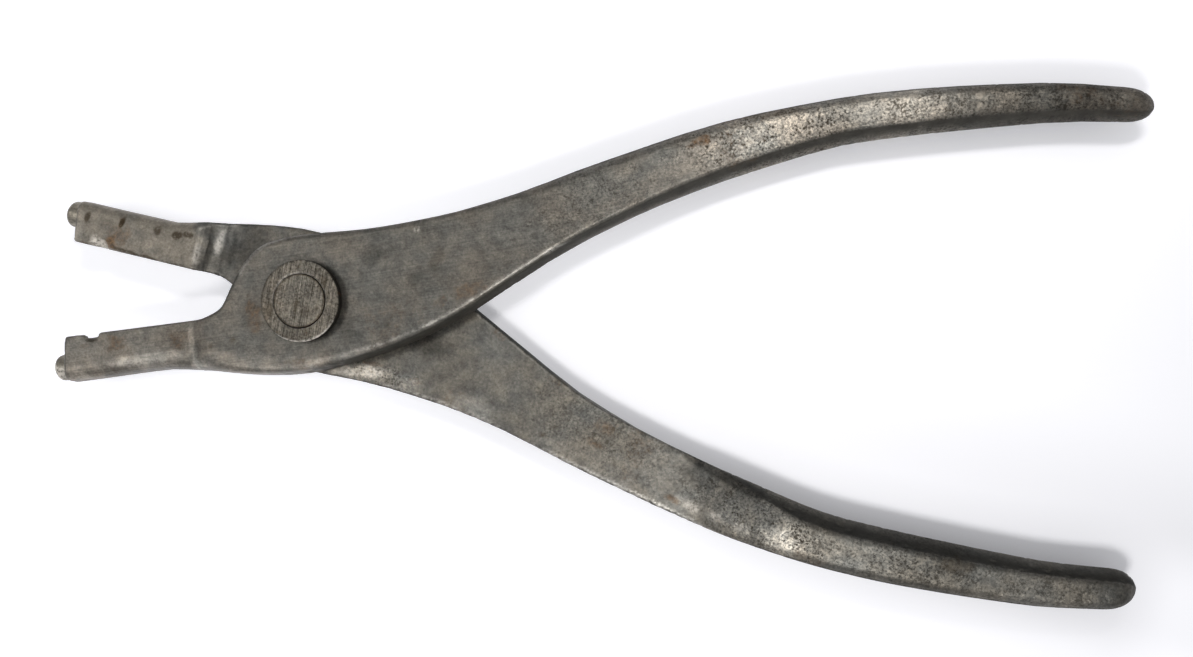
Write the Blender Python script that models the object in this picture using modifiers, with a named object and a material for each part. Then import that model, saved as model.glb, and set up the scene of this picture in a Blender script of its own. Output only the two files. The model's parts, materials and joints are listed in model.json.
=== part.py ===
"""Lap-jointed pliers: two forged levers on one rivet, with a round pin in the end of each jaw.

Metres, +Z up. The origin is on the rivet's axis, on the flat face of its rear head. The handles run to
+X and the jaws to -X. Each lever is drawn closed, in its own frame: X along the tool, Z from the middle
of the lap joint towards the lever's outer face, with its handle at +Y and its jaw at -Y. The back lever
is a like forging, turned over about X.
"""

import math

import bmesh
import bpy
import numpy as np

# Reach of the levers from the rivet's axis, and how far each is swung open from closed
FRONT_HANDLE_REACH = 0.1493
BACK_HANDLE_REACH = 0.1503
FRONT_JAW_REACH = 0.0492
BACK_JAW_REACH = 0.0486
SWING_DEG = 9.8

# Rivet, washer and the gaps of the joint
RIVET_DIAMETER = 0.0095
RIVET_HEAD_DIAMETER = 0.0140
RIVET_HEAD_HEIGHT = 0.0013
RIVET_EDGE_ROUND = 0.0004
WASHER_DIAMETER = 0.0149
WASHER_THICKNESS = 0.0020
WASHER_EDGE_ROUND = 0.0004
RUNNING_GAP = 0.0002
SEAT_GAP = 0.0002
LAP_GAP = 0.0003

# Thickness of the levers
CHEEK_THICKNESS = 0.0050
HANDLE_THICKNESS = 0.0096
HANDLE_TIP_THICKNESS = 0.0076
JAW_ROOT_THICKNESS = 0.0086
JAW_TIP_THICKNESS = 0.0076

# Jaws: the flat inner faces stand off the centre line, the outer sides are half round
JAW_FACE_OFFSET = 0.0008
FRONT_JAW_WIDTH = 0.0085
BACK_JAW_WIDTH = 0.0080
FRONT_JAW_FLARE = 0.0003
BACK_JAW_FLARE = 0.0
JAW_END_CHAMFER = 0.0004
JAW_END_SKEW_DEG = 7.0
JAW_SKEW_RUN = 0.0100

# Two steps from the lap face up to the jaw, as distances from the rivet's axis
STEP_FOOT = 0.0192
STEP_LOW_RIDGE = 0.0205
STEP_HIGH_FOOT = 0.0217
STEP_HIGH_RIDGE = 0.0234
STEP_LOW_SHARE = 0.35

# Cheek: the shoulder rises from the crotch between the jaws, and the lower edge bulges
SHOULDER_FOOT = (-0.0167, 0.0007)
SHOULDER_FLANK = (-0.0140, 0.0047)
SHOULDER_BROW = (-0.0107, 0.0093)
SHOULDER_CROWN = (-0.0060, 0.0121)
CHEEK_TOP = 0.0128
JAW_FLARE_START = 0.0304
JAW_ROOT_LOWER = 0.0102
CHEEK_FLANK = (-0.0098, -0.0126)
CHEEK_BOTTOM = (-0.0032, -0.0131)

# Handle: height of the outer edge and width, from the waist behind the cheek to the tip
WAIST_TOP, WAIST_WIDTH = 0.0123, 0.0230
NAPE_TOP, NAPE_WIDTH = 0.0129, 0.0196
NECK_TOP, NECK_WIDTH = 0.0144, 0.0158
SWELL_TOP, SWELL_WIDTH = 0.0184, 0.0120
RISE_TOP, RISE_WIDTH = 0.0230, 0.0097
BOW_TOP, BOW_WIDTH = 0.0237, 0.0082
FALL_TOP, FALL_WIDTH = 0.0214, 0.0069
TIP_TOP, TIP_WIDTH = 0.0176, 0.0056
TIP_ROUND = 0.0045

# What each handle adds to this on its outer and inner side, past the swell
FRONT_OUTER_EXTRA, FRONT_INNER_EXTRA = 0.0001, -0.0002
BACK_OUTER_EXTRA, BACK_INNER_EXTRA = 0.0002, 0.0006

# Where each lever's lap face ends, and the ramp from there to the handle's full thickness
FRONT_LAP_END = 0.0450
FRONT_RAMP = 0.0070
BACK_LAP_END = 0.0750
BACK_RAMP = 0.0200

# Edge rounds and forging draft
JAW_INNER_ROUND = 0.0004
JAW_OUTER_ROUND = 0.0031
CHEEK_ROUND = 0.0009
HANDLE_OUTER_ROUND = 0.0030
FRONT_INNER_ROUND = 0.0010
BACK_INNER_ROUND = 0.0005
LAP_EDGE = 0.0004
FRONT_DRAFT_DEG = 8.0
BACK_DRAFT_DEG = 2.0
FRONT_INNER_DRAFT_DEG = 20.0
BACK_INNER_DRAFT_DEG = 25.0

# Jaw pins, pressed into the jaw ends
PIN_DIAMETER = 0.0044
PIN_PROUD = 0.00375
PIN_SEAT = 0.0090
PIN_EDGE_ROUND = 0.0005
PIN_WALL = 0.0007
PIN_GAP = 0.00015

# Front jaw's end: a notch in the thin lip of its face, over an undercut
NOTCH_FROM_END = 0.0060
NOTCH_WIDTH = 0.0026
NOTCH_DEPTH = 0.0008
JAW_LIP = 0.0008
UNDERCUT_LENGTH = 0.0080
UNDERCUT_DEPTH = 0.0014

# Back jaw: a sloping scoop over the edge of its face
SCOOP_FROM_END = 0.0062
SCOOP_RADIUS = 0.0014
SCOOP_DEPTH = 0.0013
SCOOP_SLOPE_DEG = 45.0

ROUND_STEPS = 64
PIN_STEPS = 32
CORNER_STEPS = 4
ROUND_SHARE = 0.45
CUT_PAST = 0.0010

# Heights that follow from the stack of head, cheeks, lap and washer
CHEEK_FACE = LAP_GAP / 2 + CHEEK_THICKNESS
LAP_LEVEL = RIVET_HEAD_HEIGHT + SEAT_GAP + CHEEK_FACE
WASHER_LEVEL = LAP_LEVEL + CHEEK_FACE + SEAT_GAP
RIVET_LENGTH = WASHER_LEVEL + WASHER_THICKNESS

# Handle stations: share of the handle's reach, height of the outer edge, width
HANDLE_STATIONS = [
    (0.093, WAIST_TOP, WAIST_WIDTH),
    (0.180, NAPE_TOP, NAPE_WIDTH),
    (0.255, NECK_TOP, NECK_WIDTH),
    (0.373, SWELL_TOP, SWELL_WIDTH),
    (0.567, RISE_TOP, RISE_WIDTH),
    (0.680, BOW_TOP, BOW_WIDTH),
    (0.880, FALL_TOP, FALL_WIDTH),
    (1.000, TIP_TOP, TIP_WIDTH),
]

FRONT = {
    "handle_reach": FRONT_HANDLE_REACH,
    "outer_extra": FRONT_OUTER_EXTRA,
    "inner_extra": FRONT_INNER_EXTRA,
    "inner_round": FRONT_INNER_ROUND,
    "draft": math.tan(math.radians(FRONT_DRAFT_DEG)),
    "inner_draft": math.tan(math.radians(FRONT_INNER_DRAFT_DEG)),
    "jaw_reach": FRONT_JAW_REACH,
    "jaw_width": FRONT_JAW_WIDTH,
    "jaw_flare": FRONT_JAW_FLARE,
    "lap_end": FRONT_LAP_END,
    "ramp": FRONT_RAMP,
}
BACK = {
    "handle_reach": BACK_HANDLE_REACH,
    "outer_extra": BACK_OUTER_EXTRA,
    "inner_extra": BACK_INNER_EXTRA,
    "inner_round": BACK_INNER_ROUND,
    "draft": math.tan(math.radians(BACK_DRAFT_DEG)),
    "inner_draft": math.tan(math.radians(BACK_INNER_DRAFT_DEG)),
    "jaw_reach": BACK_JAW_REACH,
    "jaw_width": BACK_JAW_WIDTH,
    "jaw_flare": BACK_JAW_FLARE,
    "lap_end": BACK_LAP_END,
    "ramp": BACK_RAMP,
}


def clear_scene():
    for obj in list(bpy.data.objects):
        bpy.data.objects.remove(obj)


def new_collection(name):
    collection = bpy.data.collections.new(name)
    bpy.context.scene.collection.children.link(collection)
    return collection


def steel(name, colour, roughness):
    material = bpy.data.materials.new(name)
    material.use_nodes = True
    shader = material.node_tree.nodes["Principled BSDF"]
    shader.inputs["Base Color"].default_value = (*colour, 1.0)
    shader.inputs["Metallic"].default_value = 1.0
    shader.inputs["Roughness"].default_value = roughness
    return material


def add_object(name, bm, collection, parent=None):
    mesh = bpy.data.meshes.new(name)
    bm.to_mesh(mesh)
    bm.free()
    obj = bpy.data.objects.new(name, mesh)
    obj.parent = parent
    collection.objects.link(obj)
    return obj


def finish(obj, material):
    obj.data.materials.append(material)
    obj.data.shade_smooth()
    obj.data.set_sharp_from_angle(angle=math.radians(35))


def curve_through(points):
    """A smooth curve y(x) through the points that never swings past them (monotone cubic)."""
    xs, ys = np.array(points).T
    gaps = np.diff(xs)
    slopes = np.diff(ys) / gaps
    tangents = np.zeros(len(xs))
    tangents[0] = slopes[0]
    tangents[-1] = slopes[-1]
    for i in range(1, len(gaps)):
        before, after = slopes[i - 1], slopes[i]
        if before * after > 0:
            weight_before = 2 * gaps[i] + gaps[i - 1]
            weight_after = gaps[i] + 2 * gaps[i - 1]
            tangents[i] = (weight_before + weight_after) / (weight_before / before + weight_after / after)

    def value(x):
        i = int(np.clip(np.searchsorted(xs, x) - 1, 0, len(gaps) - 1))
        t = float(np.clip((x - xs[i]) / gaps[i], 0, 1))
        start = (1 + 2 * t) * (1 - t) ** 2 * ys[i] + t * (1 - t) ** 2 * gaps[i] * tangents[i]
        end = t * t * (3 - 2 * t) * ys[i + 1] - t * t * (1 - t) * gaps[i] * tangents[i + 1]
        return start + end

    return value


def lever_curves(spec):
    """Each edge, face, round and draft of a lever, as a curve along X."""
    jaw_end = -spec["jaw_reach"]
    jaw_lower = -JAW_FACE_OFFSET - spec["jaw_width"]
    ramp_end = spec["lap_end"] + spec["ramp"]
    reach = spec["handle_reach"]
    nape, neck, swell, rise, bow = (HANDLE_STATIONS[i][0] * reach for i in (1, 2, 3, 4, 5))
    handle = []
    for share, top, width in HANDLE_STATIONS:
        outer, inner = (spec["outer_extra"], spec["inner_extra"]) if share * reach > swell else (0, 0)
        handle.append((share * reach, top + outer, top - width - inner))

    upper = [(jaw_end, -JAW_FACE_OFFSET), (-STEP_HIGH_FOOT, -JAW_FACE_OFFSET)]
    upper += [SHOULDER_FOOT, SHOULDER_FLANK, SHOULDER_BROW, SHOULDER_CROWN, (0, CHEEK_TOP)]
    upper += [(x, top) for x, top, low in handle]

    lower = [(jaw_end, jaw_lower - spec["jaw_flare"]), (-JAW_FLARE_START, jaw_lower)]
    lower += [(-STEP_HIGH_RIDGE, -JAW_ROOT_LOWER), CHEEK_FLANK, CHEEK_BOTTOM]
    lower += [(x, low) for x, top, low in handle]

    face = [(jaw_end, JAW_TIP_THICKNESS / 2), (-STEP_HIGH_RIDGE, JAW_ROOT_THICKNESS / 2)]
    face += [(-STEP_FOOT, CHEEK_FACE), (swell, CHEEK_FACE)]
    face += [(bow, HANDLE_THICKNESS / 2), (reach, HANDLE_TIP_THICKNESS / 2)]

    full = [(jaw_end, 1), (-STEP_HIGH_RIDGE, 1), (-STEP_HIGH_FOOT, STEP_LOW_SHARE)]
    full += [(-STEP_LOW_RIDGE, STEP_LOW_SHARE), (-STEP_FOOT, 0), (spec["lap_end"], 0)]
    full += [(ramp_end, 1), (reach, 1)]

    upper_round = [(-STEP_HIGH_RIDGE, JAW_INNER_ROUND), (CHEEK_FLANK[0], CHEEK_ROUND)]
    upper_round += [(nape, CHEEK_ROUND), (swell, HANDLE_OUTER_ROUND)]
    lower_round = [(-STEP_HIGH_RIDGE, JAW_OUTER_ROUND), (CHEEK_FLANK[0], CHEEK_ROUND)]
    lower_round += [(neck, CHEEK_ROUND), (bow, spec["inner_round"])]
    lower_draft = [(jaw_end, spec["draft"]), (swell, spec["draft"])]
    lower_draft += [(rise, spec["inner_draft"]), (reach, spec["inner_draft"])]

    return {
        "upper": curve_through(upper),
        "lower": curve_through(lower),
        "face": curve_through(face),
        "full": curve_through(full),
        "upper_round": curve_through(upper_round),
        "lower_round": curve_through(lower_round),
        "upper_draft": curve_through([(-STEP_FOOT, 0), (0, spec["draft"])]),
        "lower_draft": curve_through(lower_draft),
    }


def rounded_corner(before, corner, after, radius):
    """Points of an arc that rounds one corner of an outline, kept within its two sides."""
    back_length = np.linalg.norm(before - corner)
    ahead_length = np.linalg.norm(after - corner)
    back = (before - corner) / back_length
    ahead = (after - corner) / ahead_length
    half_angle = math.acos(back @ ahead) / 2
    trim = min(radius / math.tan(half_angle), ROUND_SHARE * min(back_length, ahead_length))
    inward = (back + ahead) / np.linalg.norm(back + ahead)
    centre = corner + inward * trim / math.cos(half_angle)
    start = corner + back * trim - centre
    end = corner + ahead * trim - centre
    sweep = math.pi - 2 * half_angle
    points = []
    for step in range(CORNER_STEPS + 1):
        turn = sweep * step / CORNER_STEPS
        arm = (math.sin(sweep - turn) * start + math.sin(turn) * end) / math.sin(sweep)
        points.append(centre + arm)
    return points


def lever_section(curves, x):
    """The lever's outline at x, as (y, z) points: drafted sides that meet at the parting line."""
    upper, lower, face = curves["upper"](x), curves["lower"](x), curves["face"](x)
    under = LAP_GAP / 2 + curves["full"](x) * (-face - LAP_GAP / 2)
    parting = max(0.0, under + LAP_EDGE)
    rise, drop = face - parting, parting - under
    upper_draft, lower_draft = curves["upper_draft"](x), curves["lower_draft"](x)
    upper_round, lower_round = curves["upper_round"](x), curves["lower_round"](x)
    corners = [
        (upper - rise * upper_draft, face, upper_round),
        (lower + rise * lower_draft, face, lower_round),
        (lower, parting, 0),
        (lower + drop * lower_draft, under, lower_round),
        (upper - drop * upper_draft, under, upper_round),
        (upper, parting, 0),
    ]
    places = [np.array(corner[:2]) for corner in corners]
    points = []
    for i, (y, z, radius) in enumerate(corners):
        if radius:
            points += rounded_corner(places[i - 1], places[i], places[(i + 1) % len(places)], radius)
        else:
            points.append(places[i])
    return np.array(points)


def lever_ribs(spec):
    """(x, scale) of every section: full ones, then smaller ones round the two ends."""
    ramp_end = spec["lap_end"] + spec["ramp"]
    tip_start = spec["handle_reach"] - TIP_ROUND
    chamfer_end = JAW_END_CHAMFER - spec["jaw_reach"]
    zones = [
        (chamfer_end, -STEP_HIGH_RIDGE, 8),
        (-STEP_HIGH_RIDGE, -STEP_FOOT, 9),
        (-STEP_FOOT, SHOULDER_CROWN[0], 13),
        (SHOULDER_CROWN[0], spec["lap_end"], 14),
        (spec["lap_end"], ramp_end, 7),
        (ramp_end, tip_start, 14),
    ]
    ribs = [(-spec["jaw_reach"], 1 - 2 * JAW_END_CHAMFER / spec["jaw_width"])]
    for start, end, count in zones:
        ribs += [(x, 1.0) for x in np.linspace(start, end, count, endpoint=False)]
    for turn in np.linspace(0, math.radians(82), 7):
        ribs.append((tip_start + TIP_ROUND * math.sin(turn), math.cos(turn)))
    return ribs


def lever(name, spec, collection, arm):
    """A forged lever, lofted through its sections from the jaw end to the handle tip."""
    curves = lever_curves(spec)
    skew = math.tan(math.radians(JAW_END_SKEW_DEG))
    bm = bmesh.new()
    loops = []
    for x, scale in lever_ribs(spec):
        section = lever_section(curves, x)
        middle = (section.min(axis=0) + section.max(axis=0)) / 2
        section = middle + scale * (section - middle)
        lean = skew * max(0.0, 1 - (x + spec["jaw_reach"]) / JAW_SKEW_RUN)
        loops.append([bm.verts.new((x + lean * (y + JAW_FACE_OFFSET), y, z)) for y, z in section])
    for near, far in zip(loops, loops[1:]):
        for i in range(len(near)):
            bm.faces.new((near[i - 1], near[i], far[i], far[i - 1]))
    bm.faces.new(loops[0])
    bm.faces.new(loops[-1])
    bmesh.ops.recalc_face_normals(bm, faces=bm.faces)
    return add_object(name, bm, collection, arm)


def turned(name, profile, steps, collection, parent=None, closed=False):
    """A turned piece: its (radius, z) profile, from the top down, spun round Z by a Screw modifier."""
    bm = bmesh.new()
    verts = [bm.verts.new((radius, 0, z)) for radius, z in profile]
    for above, below in zip(verts, verts[1:]):
        bm.edges.new((above, below))
    if closed:
        bm.edges.new((verts[-1], verts[0]))
    obj = add_object(name, bm, collection, parent)
    screw = obj.modifiers.new("spin", "SCREW")
    screw.steps = steps
    screw.render_steps = steps
    screw.use_merge_vertices = True
    screw.merge_threshold = 0.00001
    return obj


def cylinder_cutter(name, radius, depth, steps, collection, parent):
    bm = bmesh.new()
    bmesh.ops.create_cone(
        bm, cap_ends=True, segments=steps, radius1=radius, radius2=radius, depth=depth
    )
    return add_object(name, bm, collection, parent)


def cut(obj, cutter):
    cutter.hide_render = True
    cutter.display_type = "WIRE"
    boolean = obj.modifiers.new(cutter.name, "BOOLEAN")
    boolean.operation = "DIFFERENCE"
    boolean.object = cutter


def bore_lever(obj, arm, cutters):
    cutter = cylinder_cutter(
        obj.name + "_bore",
        RIVET_DIAMETER / 2 + RUNNING_GAP,
        2 * (CHEEK_FACE + CUT_PAST),
        ROUND_STEPS,
        cutters,
        arm,
    )
    cut(obj, cutter)


def jaw_pin_place(spec):
    """The pin's axis lies just inside the jaw's rounded outer side."""
    return PIN_WALL + PIN_DIAMETER / 2 - JAW_FACE_OFFSET - spec["jaw_width"]


def drill_jaw(obj, spec, arm, cutters):
    depth = PIN_SEAT + PIN_GAP + CUT_PAST
    radius = PIN_DIAMETER / 2 + PIN_GAP
    cutter = cylinder_cutter(obj.name + "_pin_hole", radius, depth, PIN_STEPS, cutters, arm)
    cutter.rotation_euler = (0, math.pi / 2, 0)
    cutter.location = (depth / 2 - CUT_PAST - spec["jaw_reach"], jaw_pin_place(spec), 0)
    cut(obj, cutter)


def jaw_pin(name, spec, collection, arm, material):
    radius = PIN_DIAMETER / 2
    profile = [
        (0, PIN_PROUD),
        (radius - PIN_EDGE_ROUND, PIN_PROUD),
        (radius - 0.3 * PIN_EDGE_ROUND, PIN_PROUD - 0.3 * PIN_EDGE_ROUND),
        (radius, PIN_PROUD - PIN_EDGE_ROUND),
        (radius, -PIN_SEAT),
        (0, -PIN_SEAT),
    ]
    obj = turned(name, profile, PIN_STEPS, collection, arm)
    obj.rotation_euler = (0, -math.pi / 2, 0)
    obj.location = (-spec["jaw_reach"], jaw_pin_place(spec), 0)
    finish(obj, material)


def box_cutter(name, low, high, collection, parent):
    bm = bmesh.new()
    bmesh.ops.create_cube(bm, size=1.0)
    low, high = np.array(low), np.array(high)
    bmesh.ops.scale(bm, verts=bm.verts, vec=high - low)
    cutter = add_object(name, bm, collection, parent)
    cutter.location = (low + high) / 2
    return cutter


def notch_front_jaw(obj, arm, cutters):
    """A square notch through the lip, and the undercut that leaves the lip thin."""
    past_face = CUT_PAST - JAW_FACE_OFFSET
    past_end = -CUT_PAST - FRONT_JAW_REACH
    past_side = JAW_ROOT_THICKNESS / 2 + CUT_PAST
    middle = NOTCH_FROM_END - FRONT_JAW_REACH
    low = (middle - NOTCH_WIDTH / 2, -JAW_FACE_OFFSET - NOTCH_DEPTH, -past_side)
    high = (middle + NOTCH_WIDTH / 2, past_face, past_side)
    cut(obj, box_cutter("front_jaw_notch", low, high, cutters, arm))
    low = (past_end, -JAW_FACE_OFFSET - UNDERCUT_DEPTH, -past_side)
    high = (UNDERCUT_LENGTH - FRONT_JAW_REACH, past_face, JAW_TIP_THICKNESS / 2 - JAW_LIP)
    cut(obj, box_cutter("front_jaw_undercut", low, high, cutters, arm))


def scoop_back_jaw(obj, arm, cutters):
    """A round gouge that slopes from the jaw's upper face down to its flat inner face."""
    slope = math.radians(SCOOP_SLOPE_DEG)
    x = SCOOP_FROM_END - BACK_JAW_REACH
    upper_face = lever_curves(BACK)["face"](x)
    clear = SCOOP_RADIUS - SCOOP_DEPTH
    cutter = cylinder_cutter("back_jaw_scoop", SCOOP_RADIUS, JAW_ROOT_THICKNESS, PIN_STEPS, cutters, arm)
    cutter.rotation_euler = (-slope, 0, 0)
    cutter.location = (x, clear * math.cos(slope) - JAW_FACE_OFFSET, -upper_face - clear * math.sin(slope))
    cut(obj, cutter)


def pivot_rivet(collection, material):
    """Shank through both cheeks and the washer, with its formed head under the back cheek."""
    radius = RIVET_DIAMETER / 2
    head = RIVET_HEAD_DIAMETER / 2
    edge = RIVET_EDGE_ROUND
    profile = [
        (0, RIVET_LENGTH),
        (radius - edge, RIVET_LENGTH),
        (radius, RIVET_LENGTH - edge),
        (radius, RIVET_HEAD_HEIGHT),
        (head - edge, RIVET_HEAD_HEIGHT),
        (head, RIVET_HEAD_HEIGHT - edge),
        (head, edge),
        (head - edge, 0),
        (0, 0),
    ]
    finish(turned("pivot_rivet", profile, ROUND_STEPS, collection), material)


def pivot_washer(collection, material):
    hole = RIVET_DIAMETER / 2 + SEAT_GAP
    outer = WASHER_DIAMETER / 2
    edge = WASHER_EDGE_ROUND
    top = WASHER_LEVEL + WASHER_THICKNESS
    profile = [
        (hole, top),
        (outer - edge, top),
        (outer - 0.3 * edge, top - 0.3 * edge),
        (outer, top - edge),
        (outer, WASHER_LEVEL),
        (hole, WASHER_LEVEL),
    ]
    finish(turned("pivot_washer", profile, ROUND_STEPS, collection, closed=True), material)


def arm_empty(name, collection, turned_over):
    """An empty on the rivet's axis, at the middle of the lap joint, that carries one lever."""
    empty = bpy.data.objects.new(name, None)
    swing = math.radians(SWING_DEG)
    empty.location = (0, 0, LAP_LEVEL)
    empty.rotation_euler = (math.pi, 0, -swing) if turned_over else (0, 0, swing)
    collection.objects.link(empty)
    return empty


def main():
    clear_scene()
    parts = new_collection("pin_jaw_pliers")
    cutters = new_collection("cutters")

    front_arm = arm_empty("front_arm", parts, turned_over=False)
    front = lever("front_lever", FRONT, parts, front_arm)
    bore_lever(front, front_arm, cutters)
    drill_jaw(front, FRONT, front_arm, cutters)
    notch_front_jaw(front, front_arm, cutters)
    finish(front, steel("front_lever_steel", (0.27, 0.26, 0.24), 0.48))

    back_arm = arm_empty("back_arm", parts, turned_over=True)
    back = lever("back_lever", BACK, parts, back_arm)
    bore_lever(back, back_arm, cutters)
    drill_jaw(back, BACK, back_arm, cutters)
    scoop_back_jaw(back, back_arm, cutters)
    finish(back, steel("back_lever_steel", (0.25, 0.24, 0.22), 0.50))

    pin_steel = steel("jaw_pin_steel", (0.36, 0.33, 0.29), 0.42)
    jaw_pin("front_jaw_pin", FRONT, parts, front_arm, pin_steel)
    jaw_pin("back_jaw_pin", BACK, parts, back_arm, pin_steel.copy())

    pivot_rivet(parts, steel("rivet_steel", (0.30, 0.27, 0.24), 0.45))
    pivot_washer(parts, steel("washer_steel", (0.29, 0.26, 0.23), 0.45))
    bpy.context.view_layer.update()


main()
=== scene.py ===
import json
import math

import bmesh
import bpy
import numpy as np
from mathutils import Matrix, Vector, noise
from mathutils.bvhtree import BVHTree

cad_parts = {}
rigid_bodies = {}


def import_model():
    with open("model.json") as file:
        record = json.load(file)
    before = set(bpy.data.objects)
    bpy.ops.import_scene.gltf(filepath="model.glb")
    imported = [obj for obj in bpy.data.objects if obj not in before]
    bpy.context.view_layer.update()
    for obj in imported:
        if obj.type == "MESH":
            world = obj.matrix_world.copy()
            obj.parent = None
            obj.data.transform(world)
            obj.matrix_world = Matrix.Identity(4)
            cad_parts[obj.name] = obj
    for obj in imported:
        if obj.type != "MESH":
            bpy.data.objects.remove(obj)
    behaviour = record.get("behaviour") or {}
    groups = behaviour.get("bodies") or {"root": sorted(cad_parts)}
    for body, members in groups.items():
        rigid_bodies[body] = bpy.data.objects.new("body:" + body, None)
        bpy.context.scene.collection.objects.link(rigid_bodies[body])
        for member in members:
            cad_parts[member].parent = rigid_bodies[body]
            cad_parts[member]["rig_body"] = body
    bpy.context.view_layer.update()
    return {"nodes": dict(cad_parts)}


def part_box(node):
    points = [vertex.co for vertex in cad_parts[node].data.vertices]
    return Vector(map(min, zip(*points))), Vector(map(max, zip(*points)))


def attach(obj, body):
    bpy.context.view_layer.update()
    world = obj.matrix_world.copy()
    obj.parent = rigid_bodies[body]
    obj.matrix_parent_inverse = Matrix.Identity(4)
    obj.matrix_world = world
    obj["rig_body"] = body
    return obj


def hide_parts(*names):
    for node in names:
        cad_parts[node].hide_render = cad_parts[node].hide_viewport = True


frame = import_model()
nodes = frame["nodes"]
mm = 0.001
print("frame loaded:", ", ".join(sorted(nodes)))


# Shader helpers

def feed(tree, socket, source):
    if isinstance(source, bpy.types.NodeSocket):
        tree.links.new(source, socket)
    elif hasattr(source, "__len__") and len(source) == 3 and socket.type == "RGBA":
        socket.default_value = (*source, 1)
    else:
        socket.default_value = source


def sumNode(tree, operation, first, second=0.0):
    node = tree.nodes.new("ShaderNodeMath")
    node.operation = operation
    feed(tree, node.inputs[0], first)
    feed(tree, node.inputs[1], second)
    return node.outputs[0]


def times(tree, *factors):
    product = factors[0]
    for factor in factors[1:]:
        product = sumNode(tree, "MULTIPLY", product, factor)
    return product


def plus(tree, *terms):
    total = terms[0]
    for term in terms[1:]:
        total = sumNode(tree, "ADD", total, term)
    return total


def weighted(tree, base, sources, weights):
    total = base
    for label, weight in weights.items():
        total = plus(tree, total, times(tree, sources[label], weight))
    return total


def ramp(tree, value, low, high, start=0.0, end=1.0):
    node = tree.nodes.new("ShaderNodeMapRange")
    node.interpolation_type = "SMOOTHSTEP"
    feed(tree, node.inputs["Value"], value)
    node.inputs["From Min"].default_value = low
    node.inputs["From Max"].default_value = high
    node.inputs["To Min"].default_value = start
    node.inputs["To Max"].default_value = end
    return node.outputs["Result"]


def mixColour(tree, factor, first, second, mode="MIX"):
    node = tree.nodes.new("ShaderNodeMix")
    node.data_type = "RGBA"
    node.blend_type = mode
    feed(tree, node.inputs[0], factor)
    feed(tree, node.inputs[6], first)
    feed(tree, node.inputs[7], second)
    return node.outputs[2]


def noiseField(tree, vector, size, detail, roughness=0.6, stretch=(1, 1, 1)):
    mapping = tree.nodes.new("ShaderNodeMapping")
    mapping.inputs["Scale"].default_value = [k / size for k in stretch]
    feed(tree, mapping.inputs["Vector"], vector)
    node = tree.nodes.new("ShaderNodeTexNoise")
    feed(tree, node.inputs["Vector"], mapping.outputs[0])
    node.inputs["Scale"].default_value = 1.0
    node.inputs["Detail"].default_value = detail
    node.inputs["Roughness"].default_value = roughness
    return node.outputs[0]


def newGroup(name, inputs, outputs):
    tree = bpy.data.node_groups.new(name, "ShaderNodeTree")
    for label, kind in inputs:
        tree.interface.new_socket(label, in_out="INPUT", socket_type="NodeSocket" + kind)
    for label, kind in outputs:
        tree.interface.new_socket(label, in_out="OUTPUT", socket_type="NodeSocket" + kind)
    return tree, tree.nodes.new("NodeGroupInput").outputs, tree.nodes.new("NodeGroupOutput").inputs


def useGroup(tree, group, **values):
    node = tree.nodes.new("ShaderNodeGroup")
    node.node_tree = group
    for label, value in values.items():
        feed(tree, node.inputs[label], value)
    return node.outputs


# Camera, floor and studio light

photoView = {
    "imageSize": (1193, 657),  # pixels
    "focalLength": 1035.0,  # pixels
    "pixelBelowEye": (750.0, 348.0),  # the point of the floor straight under the camera
    "rollDegrees": 3.3,
    "eye": (0.0805, -0.0038, 0.1899),
    "sensorWidth": 36.0,
}


def addCamera(view):
    width, height = view["imageSize"]
    focal = view["focalLength"]
    belowX, belowY = view["pixelBelowEye"]
    roll = math.radians(view["rollDegrees"])
    # axes of the tool as the camera sees them: x right, y down, z away
    down = Vector(((belowX - width / 2) / focal, (belowY - height / 2) / focal, 1)).normalized()
    along = Vector((math.cos(roll), math.sin(roll), 0))
    along = (along - along.dot(down) * down).normalized()
    across = (-down).cross(along)
    seen = Matrix((along, across, -down))
    turn = Matrix((seen.col[0], -seen.col[1], -seen.col[2])).transposed()
    lens = bpy.data.cameras.new("photoCamera")
    lens.sensor_width = view["sensorWidth"]
    lens.lens = focal / width * view["sensorWidth"]
    lens.clip_start = 0.01
    camera = bpy.data.objects.new("photoCamera", lens)
    camera.matrix_world = Matrix.Translation(view["eye"]) @ turn.to_4x4()
    bpy.context.scene.collection.objects.link(camera)
    bpy.context.scene.camera = camera


studio = {
    "floorHalf": 3.0,
    "floorColour": (0.735, 0.74, 0.772),
    "floorRoughness": 0.9,
    "floorSpecular": 0.1,
    "floorLift": (0.41, 0.65),  # glow of the paper round the handles and round the jaws
    "liftChange": (0.045, -0.010),  # where along X it goes from one to the other
    "handleRun": (-0.0078, -0.244),  # Y along the lower handle: at X = 0, and its change with X
    "underLift": (0.16, -0.002, -0.012),  # more glow on the paper below the lower handle
    "overLift": (0.12, 0.012, 0.035),  # and from the middle of the gap upwards
    "cornerLift": (0.17, (0.143, 0.156), (-0.030, -0.042)),  # and past the lower handle's tip, by X and Y
    "nearShade": 0.011,  # the glow fades this close to the tool
    "shadeSamples": 8,
    "shadeChange": (0.015, 0.110),  # along X, from no fading to all of it
    "sky": (0.22, 0.22, 0.225),
    "lampColour": (1.0, 0.985, 0.965),
    "lamps": [
        {
            "name": "keySoftbox",
            "place": (0.095, -0.128, 0.25),
            "aim": (0.078, -0.053, 0.0),
            "size": 0.05,
            "spreadDegrees": 97,
            "power": 0.126,
        },
        {
            "name": "farSoftbox",
            "place": (0.110, 0.130, 0.25),
            "aim": (0.018, 0.389, 0.0),
            "size": 0.07,
            "spreadDegrees": 170,
            "power": 0.98,
        },
        {
            "name": "jawSoftbox",
            "place": (-0.170, 0.0, 0.30),
            "aim": (-0.080, 0.0, 0.0),
            "size": 0.12,
            "spreadDegrees": 63,
            "power": 0.041,
        },
    ],
}


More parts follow.
